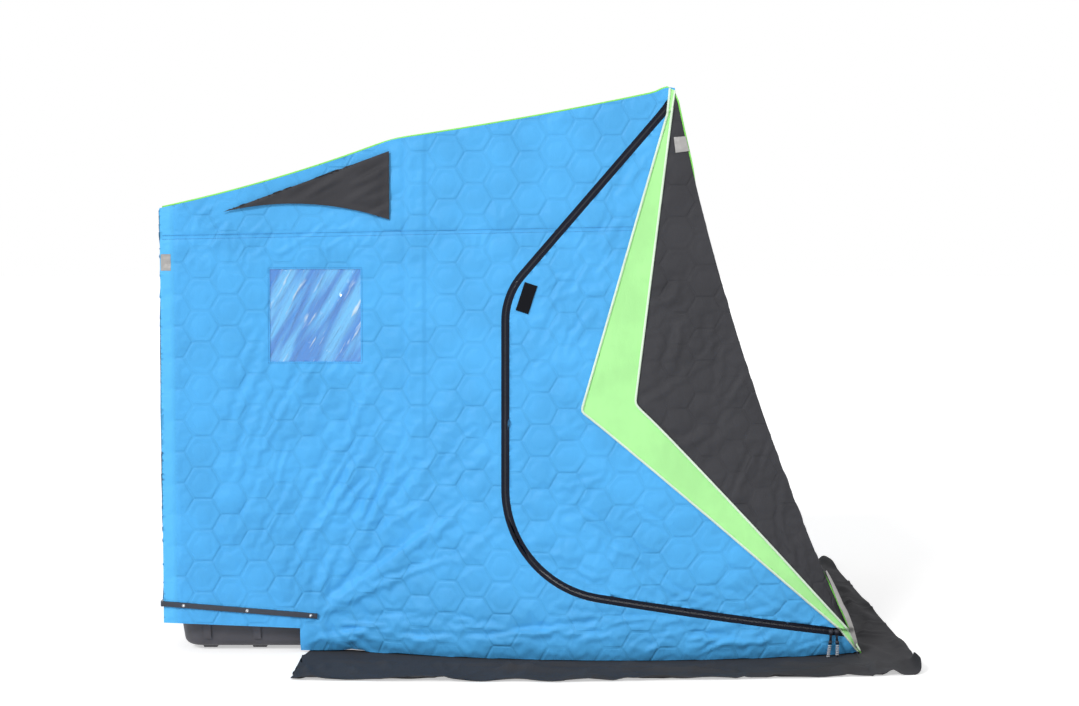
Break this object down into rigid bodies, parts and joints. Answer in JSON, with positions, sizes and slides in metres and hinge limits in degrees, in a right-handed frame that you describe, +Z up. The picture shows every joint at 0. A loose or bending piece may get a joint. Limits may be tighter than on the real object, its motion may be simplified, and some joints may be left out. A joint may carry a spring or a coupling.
{
  "type": "ice fishing hut",
  "caption": "Flip-over fabric ice fishing hut on a moulded sled, with zipped door flaps in both side walls that swing open from the front edge.",
  "frame": {"origin": "middle of the bounding box, on the ice", "axes": "+X towards the front wall, +Y towards the far side, +Z up"},
  "size_m": [2.59, 2.5564, 1.9519],
  "materials": {
    "blue_cloth": "quilted thermal cloth in large hexagons",
    "green_cloth": "smooth bright cloth",
    "green_piping": "corded edge piping",
    "black_cloth": "matt cloth, faintly quilted",
    "clear_window": "clear flexible film",
    "zip_webbing": "woven tape with moulded teeth",
    "zip_pull": "moulded slider and cord tab",
    "sled_plastic": "moulded polyethylene, fine grain",
    "rail_metal": "satin black",
    "bow_metal": "satin black",
    "bracket_steel": "satin black"
  },
  "bodies": {
    "root": {"back_clamp_rail": "rail_metal", "back_wall": "blue_cloth", "far_clamp_rail": "rail_metal", "far_front_piping": "green_piping", "far_pivot_bracket": "bracket_steel", "far_roof_piping": "green_piping", "far_side_middle_panel": "blue_cloth", "far_side_rear_panel": "blue_cloth", "far_side_sill_panel": "blue_cloth", "far_side_skirt": "black_cloth", "far_side_upper_panel": "blue_cloth", "far_vent_hood": "black_cloth", "far_window": "clear_window", "far_zip_pulls": "zip_pull", "far_zip_tape_wall": "zip_webbing", "front_bow": "bow_metal", "front_skirt": "black_cloth", "front_wall": "black_cloth", "middle_bow": "bow_metal", "near_clamp_rail": "rail_metal", "near_front_piping": "green_piping", "near_pivot_bracket": "bracket_steel", "near_roof_piping": "green_piping", "near_side_middle_panel": "blue_cloth", "near_side_rear_panel": "blue_cloth", "near_side_sill_panel": "blue_cloth", "near_side_skirt": "black_cloth", "near_side_upper_panel": "blue_cloth", "near_vent_hood": "black_cloth", "near_window": "clear_window", "near_zip_pulls": "zip_pull", "near_zip_tape_wall": "zip_webbing", "peak_bow": "bow_metal", "rear_bow": "bow_metal", "roof_front": "blue_cloth", "roof_rear": "blue_cloth", "sled_tub": "sled_plastic"},
    "near_door": {"near_door_front_panel": "black_cloth", "near_door_panel": "blue_cloth", "near_door_stripe": "green_cloth", "near_hook_patch": "zip_webbing", "near_zip_tape_door": "zip_webbing"},
    "far_door": {"far_door_front_panel": "black_cloth", "far_door_panel": "blue_cloth", "far_door_stripe": "green_cloth", "far_hook_patch": "zip_webbing", "far_zip_tape_door": "zip_webbing"}
  },
  "joints": [
    {"name": "near_door_hinge", "type": "hinge", "parent": "root", "child": "near_door", "pos_m": [1.115, -0.85146, 0], "axis": [-0.3155, 0.016, 0.9488], "range_deg": [0, 105]},
    {"name": "far_door_hinge", "type": "hinge", "parent": "root", "child": "far_door", "pos_m": [1.115, 0.85146, 0], "axis": [0.3155, 0.016, -0.9488], "range_deg": [0, 105]}
  ]
}
